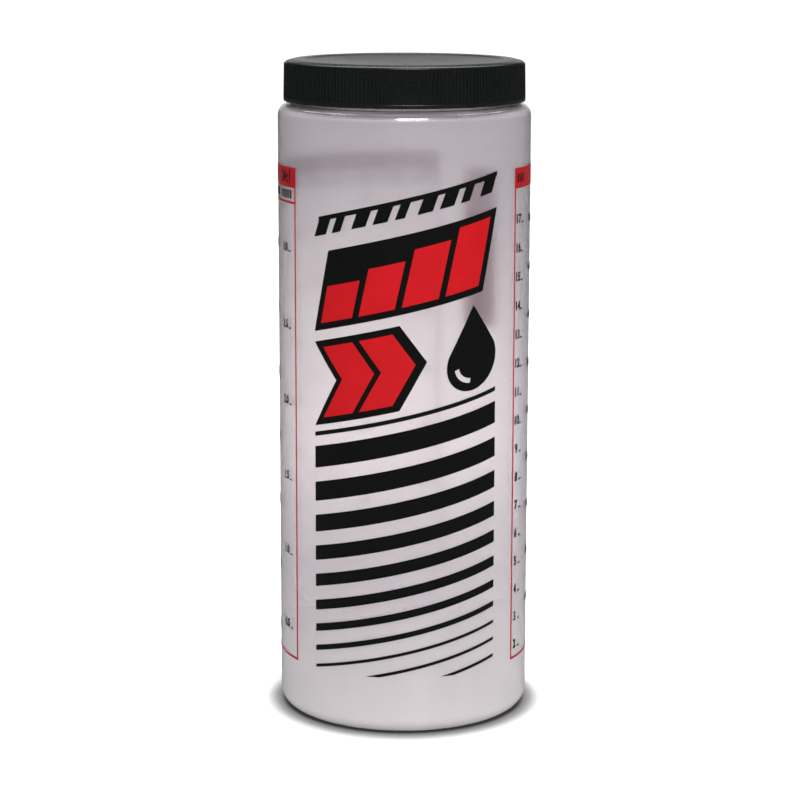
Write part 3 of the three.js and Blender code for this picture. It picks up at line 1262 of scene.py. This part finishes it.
@dataclass
class Scales:
    """The framed scales on the sides and back, with their marks and numbers.

    Angles are in degrees from the front towards +X, and other sizes are in millimetres. The jar
    holds a fluid ounce in each step of ounce, measured from the height of zero. A number's three
    sizes are its place across, its middle above its tick, and the height of its digits.
    """

    wall: Wall
    edge: float = 57.9
    ounce_span: float = 39.0
    ratio_span: float = 140.6
    base: float = 16.4
    top: float = 156.45
    line: float = 0.6
    header: float = 5.6
    note: float = 3.8
    zero: float = 3.3
    ounce: float = 8.117
    ounces: tuple[int, int] = (2, 17)
    ounce_ml: float = 29.5735
    ml_step: int = 25
    ml_steps: tuple[int, int] = (3, 20)
    ml_column: float = 19.5
    gallon: float = 128.0
    brim: float = 17.2
    half_steps_to: int = 32
    first_column: float = 19.4
    ratios: tuple[int, ...] = (24, 28, 30, 32, 36, 40, 45, 50, 60)
    tick: float = 1.5
    ratio_tick: float = 1.4
    tick_weight: float = 0.45
    tick_at: float = 4.3
    ml_tick_at: float = 4.6
    ratio_tick_at: float = 1.6
    number: tuple[float, float, float] = (2.4, 0.95, 2.5)
    ml_number: tuple[float, float, float] = (2.0, 0.8, 2.0)
    ratio_number: tuple[float, float, float] = (-1.0, 0.9, 2.4)
    heading: float = 3.2
    header_at: float = 3.6
    clear_of_base: float = 1.5
    digit_scale: float = 1.38
    digit_width: float = 0.94
    bold: float = 0.055
    header_bars: int = 3
    note_bars: int = 5
    note_bar: float = 1.0
    bar_pitch: float = 1.6
    bar_height: float = 0.62
    panel: float = 138.0
    panel_span: float = 20.0
    panel_top: float = 152.0
    panel_height: float = 47.0

    def across(self, angle: float) -> float:
        """The distance round the wall of an angle."""
        return math.radians(angle) * self.wall.radius

    def frame_parts(self, start: float, end: float, note: bool) -> tuple[Outline, list[Outline]]:
        """A frame's outer edge and its windows.

        Args:
            start: The angle of its left edge.
            end: The angle of its right edge.
            note: Whether a note strip lies under the header.

        Returns:
            The outer edge, and the windows.
        """
        left, right = self.across(start), self.across(end)
        low, high = self.base + self.line, self.top - self.header
        outer = box_outline(left, right, self.base, self.top)
        left, right = left + self.line, right - self.line
        if not note:
            return outer, [box_outline(left, right, low, high)]
        split = high - self.note
        return outer, [box_outline(left, right, split, high),
                       box_outline(left, right, low, split - self.line)]

    def row(self, black: Material, name: str, first: Point, step: Point, count: int,
            size: Point) -> Mesh:
        """A row or column of flat marks.

        Args:
            black: The ink.
            name: The pattern's name.
            first: The middle of the first mark, across and up.
            step: The distance from one mark to the next, across and up.
            count: The number of marks.
            size: A mark's width and height.

        Returns:
            The flat marks, in millimetres.
        """
        pattern = NodePattern(name, {
            "Across": first[0], "Up": first[1], "Step Across": step[0], "Step Up": step[1],
            "Count": count, "Width": size[0], "Height": size[1],
        }, black)
        line = pattern.pen.node("GeometryNodeMeshLine", {
            "Count": pattern.size("Count"),
            "Start Location": pattern.point(pattern.size("Across"), 0.0, pattern.size("Up")),
            "Offset": pattern.point(pattern.size("Step Across"), 0.0, pattern.size("Step Up"))})
        mark = pattern.pen.node("GeometryNodeMeshGrid", {
            "Size X": pattern.size("Width"), "Size Y": pattern.size("Height"),
            "Vertices X": 2, "Vertices Y": 2})
        stood = pattern.moved(mark.outputs[0], Rotation=(math.pi / 2, 0.0, 0.0))
        return take_mesh(pattern.make(name, pattern.copies(line.outputs[0], stood)))

    def column(self, black: Material, name: str, left: float, width: float, low: float,
               pitch: float, count: int) -> Mesh:
        """A column of ticks.

        Args:
            black: The ink.
            name: The pattern's name.
            left: The place of their left ends round the wall.
            width: Their length.
            low: The height of the lowest one.
            pitch: The distance from one to the next.
            count: How many there are.

        Returns:
            The flat ticks, in millimetres.
        """
        return self.row(black, name, (left + width * 0.5, low), (0.0, pitch), count,
                        (width, self.tick_weight))

    def bars(self, black: Material, name: str, centre: float, middle: float, count: int) -> Mesh:
        """A row of short upright bars, in the place of a word.

        Args:
            black: The ink.
            name: The pattern's name.
            centre: The row's middle round the wall.
            middle: The height of its middle.
            count: The number of bars.

        Returns:
            The flat bars, in millimetres.
        """
        pitch = self.note_bar * self.bar_pitch
        return self.row(black, name, (centre - pitch * (count - 1) / 2, middle), (pitch, 0.0), count,
                        (self.note_bar, self.note * self.bar_height))

    def figure(self, text: str, across: float, up: float, size: float) -> Mesh:
        """One number as flat faces.

        Args:
            text: The number.
            across: The middle of the number round the wall.
            up: The height of its middle.
            size: The height of its digits.

        Returns:
            The flat mesh, in millimetres.
        """
        curve = bpy.data.curves.new("figure", "FONT")
        curve.body = text
        curve.size = size * self.digit_scale
        curve.align_x = "CENTER"
        curve.align_y = "CENTER"
        curve.resolution_u = 3
        curve.fill_mode = "FRONT"
        curve.offset = size * self.bold
        holder = bpy.data.objects.new("figure", curve)
        bpy.context.scene.collection.objects.link(holder)
        bpy.context.view_layer.update()
        result = holder.evaluated_get(bpy.context.evaluated_depsgraph_get())
        flat = bpy.data.meshes.new_from_object(result)
        bpy.data.objects.remove(holder)
        stand = Matrix.Translation((across, 0.0, up)) @ Matrix.Rotation(math.pi / 2, 4, "X")
        flat.transform(stand @ Matrix.Diagonal((self.digit_width, 1.0, 1.0, 1.0)))
        return flat

    def label(self, text: str, across: float, up: float, how: tuple[float, float, float]) -> Mesh:
        """The number beside a tick."""
        return self.figure(text, across + how[0], up + how[1], how[2])

    def ounce_marks(self, black: Material) -> list[Mesh]:
        """The ticks and numbers of the ounces and the millilitres.

        Args:
            black: The ink.

        Returns:
            Flat meshes, in millimetres.
        """
        left = self.across(self.edge)
        low, high = self.ounces
        made = [self.column(black, "ounce_ticks", left + self.tick_at, self.tick,
                            self.zero + low * self.ounce, self.ounce, high - low + 1)]
        for ounces in range(low, high + 1):
            up = self.zero + ounces * self.ounce
            made.append(self.label(str(ounces), left, up, self.number))
        made.append(self.bars(black, "header_bars", left + self.header_at,
                              self.top - self.header / 2, self.header_bars))
        step = self.ounce / self.ounce_ml * self.ml_step
        far = left + self.across(self.ml_column)
        low, high = self.ml_steps
        made.append(self.column(black, "millilitre_ticks", far + self.ml_tick_at, self.tick,
                                self.zero + low * step, step, high - low + 1))
        for i in range(low + 1, high + 1, 2):
            up = self.zero + i * step
            made.append(self.label(str(i * self.ml_step), far, up, self.ml_number))
        return made

    def ratio_marks(self, black: Material) -> list[Mesh]:
        """The ticks, numbers and headings of the mixing ratios, in gallons of fuel.

        Args:
            black: The ink.

        Returns:
            Flat meshes, in millimetres.
        """
        made: list[Mesh] = []
        pitch = (self.ratio_span - self.first_column) / (len(self.ratios) - 1)
        for i, ratio in enumerate(self.ratios):
            width = pitch if i else self.first_column
            taken = self.first_column + pitch * (i - 1) if i else 0.0
            centre = self.across(-self.edge - taken - width / 2)
            stride = 0.5 if ratio <= self.half_steps_to else 1.0
            rise = self.gallon / ratio * stride * self.ounce
            count = int((self.brim * self.ounce) // rise)
            made.append(self.column(black, f"ratio_ticks_{ratio}", centre + self.ratio_tick_at,
                                    self.ratio_tick, self.zero + rise, rise, count))
            for k in range(1, count + 1):
                up = self.zero + rise * k
                if up > self.base + self.clear_of_base:
                    text = f"{k * stride:.{1 if stride < 1 else 0}f}"
                    made.append(self.label(text, centre, up, self.ratio_number))
            made.append(self.figure(f"{ratio}:1", centre, self.top - self.header / 2, self.heading))
            made.append(self.bars(black, f"note_bars_{ratio}", centre,
                                  self.top - self.header - self.note / 2, self.note_bars))
        return made

    def build(self, black: Material, red: Material) -> None:
        """Prints the frames, the far panel, the marks and the numbers.

        Args:
            black: The black ink.
            red: The red ink.
        """
        half = self.panel_span / 2
        panel = box_outline(self.across(self.panel - half), self.across(self.panel + half),
                            self.panel_top - self.panel_height, self.panel_top)
        ounces = self.frame_parts(self.edge, self.edge + self.ounce_span, note=False)
        ratios = self.frame_parts(-self.edge - self.ratio_span, -self.edge, note=True)
        for name, (outer, windows) in (
                ("ounce_frame", ounces), ("ratio_frame", ratios), ("back_panel", (panel, []))):
            film = self.wall.field(f"{name}_print", [outer], windows)
            dress(film, Body.JAR, red, [name])
        over = Wall(self.wall.radius, self.wall.lift + self.wall.film * 0.6, self.wall.film * 0.7, 0.8)
        bm = bmesh.new()
        for flat in self.ounce_marks(black) + self.ratio_marks(black):
            bm.from_mesh(flat)
            bpy.data.meshes.remove(flat)
        bmesh.ops.remove_doubles(bm, verts=bm.verts, dist=1e-4)
        over.wrap(bm)
        dress(finish_mesh("scale_marks", bm, smooth=False), Body.JAR, black)


@dataclass
class Studio:
    """The floor, the lights, the white surround and the camera.

    Lengths are in metres and angles in radians. The focal length and the centre of the view are
    in pixels of the photograph, which is width by height.
    """

    focal: float = 2424.68
    width: float = 792.0
    height: float = 790.0
    centre: Point = (403.94, 355.0)
    distance: float = 0.6814
    eye: float = 0.2247
    tilt: float = 0.1795
    roll: float = 0.0021
    turn: float = math.radians(-0.8)
    ground: float = 60.0
    ambient: float = 0.50
    front: float = 1.2
    lean: float = 0.25
    mirrored: float = 0.05
    back_mirrored: float = 0.6
    back_from: Point = (0.93, 0.99)
    through: float = 1.25
    through_fall: float = 0.7
    aim: tuple[float, float, float] = (0.0, 0.0, 0.1)

    def floor(self) -> None:
        """Lays the pale floor."""
        bm = bmesh.new()
        bmesh.ops.create_grid(bm, x_segments=1, y_segments=1, size=self.ground)
        floor = finish_mesh("floor", bm, smooth=False)
        floor.data.materials.append(PaleFloor().build())

    def surround(self) -> None:
        """Lights the scene from all round and shows white behind the bottle."""
        world = bpy.data.worlds.new("surround")
        bpy.context.scene.world = world
        world.use_nodes = True
        world.node_tree.nodes.clear()
        pen = Pen(world.node_tree)
        path = pen.node("ShaderNodeLightPath")
        place = pen.node("ShaderNodeTexCoord").outputs["Generated"]
        axes = pen.node("ShaderNodeSeparateXYZ", {0: place})
        across = Value(pen, axes.outputs[0])
        sides = across * across
        behind = pen.value("ShaderNodeMapRange", 0, {
            "Value": axes.outputs[1], "From Min": self.back_from[0], "From Max": self.back_from[1]})
        strength = self.ambient * (self.front - sides + across * self.lean)
        gloss = behind * self.back_mirrored + self.mirrored
        strength = self.pick(path, "Is Glossy Ray", strength, gloss)
        within = self.through * (1.0 - sides * self.through_fall)
        strength = self.pick(path, "Is Transmission Ray", strength, within)
        strength = self.pick(path, "Is Camera Ray", strength, 1.0)
        glow = pen.node("ShaderNodeBackground", {"Color": grey(1.0), "Strength": strength})
        pen.node("ShaderNodeOutputWorld", {"Surface": glow.outputs[0]})

    @staticmethod
    def pick(path: bpy.types.Node, kind: str, other: Value, value: Any) -> Value:
        """Chooses a brightness for one kind of ray.

        Args:
            path: The Light Path node.
            kind: The kind of ray.
            other: The brightness for all other rays.
            value: The brightness for this kind.

        Returns:
            The chosen brightness.
        """
        flag = Value(other.pen, path.outputs[kind])
        return other + flag * (value - other)

    def lamp(self, name: str, place: tuple[float, float, float], size: Point, power: float) -> None:
        """Hangs one soft panel that faces the bottle.

        Args:
            name: The lamp's name.
            place: Its place.
            size: Its width and height.
            power: Its power in watts.
        """
        light = bpy.data.lights.new(name, "AREA")
        light.shape = "RECTANGLE"
        light.size, light.size_y = size
        light.energy = power
        made = bpy.data.objects.new(name, light)
        made.location = place
        facing = Vector(self.aim) - Vector(place)
        made.rotation_euler = facing.to_track_quat("-Z", "Y").to_euler()
        bpy.context.scene.collection.objects.link(made)

    def camera(self) -> None:
        """Sets the camera where the photograph was taken from."""
        lens = bpy.data.cameras.new("view")
        lens.sensor_width = 36.0
        lens.lens = self.focal * lens.sensor_width / self.width
        lens.shift_x = (self.width / 2 - self.centre[0]) / self.width
        lens.shift_y = (self.centre[1] - self.height / 2) / self.width
        lens.clip_start = 0.01
        made = bpy.data.objects.new("view", lens)
        bpy.context.scene.collection.objects.link(made)
        away = self.distance
        place = Vector((away * math.sin(self.turn), -away * math.cos(self.turn), self.eye))
        made.matrix_world = (
            Matrix.Translation(place) @ Matrix.Rotation(self.turn, 4, "Z")
            @ Matrix.Rotation(math.pi / 2 - self.tilt, 4, "X") @ Matrix.Rotation(self.roll, 4, "Z"))
        bpy.context.scene.camera = made

    def build(self) -> None:
        """Sets up the studio."""
        self.floor()
        self.surround()
        self.lamp("key", (0.09, -0.72, 0.95), (0.46, 0.30), 9.5)
        self.lamp("top", (0.0, 0.45, 1.0), (1.2, 0.7), 9.0)
        self.camera()
        bpy.context.scene.view_settings.view_transform = "Standard"


def main() -> None:
    """Builds and dresses the bottle."""
    logging.basicConfig(level=logging.INFO)
    black = ScreenInk("black_ink", (0.0036, 0.0044, 0.0037)).build()
    red = ScreenInk("red_ink", (0.49, 0.0055, 0.0095)).build()
    sheer_red = ScreenInk("sheer_red_ink", (0.53, 0.006, 0.014), sheer=0.28).build()
    Jar().build(FrostedPlastic().build())
    Cap().build(MouldedPlastic().build(), Foam().build())
    wall = Wall()
    FrontPrint(wall).build(black, red)
    Scales(wall).build(black, sheer_red)
    Studio().build()


if __name__ == "__main__":
    main()
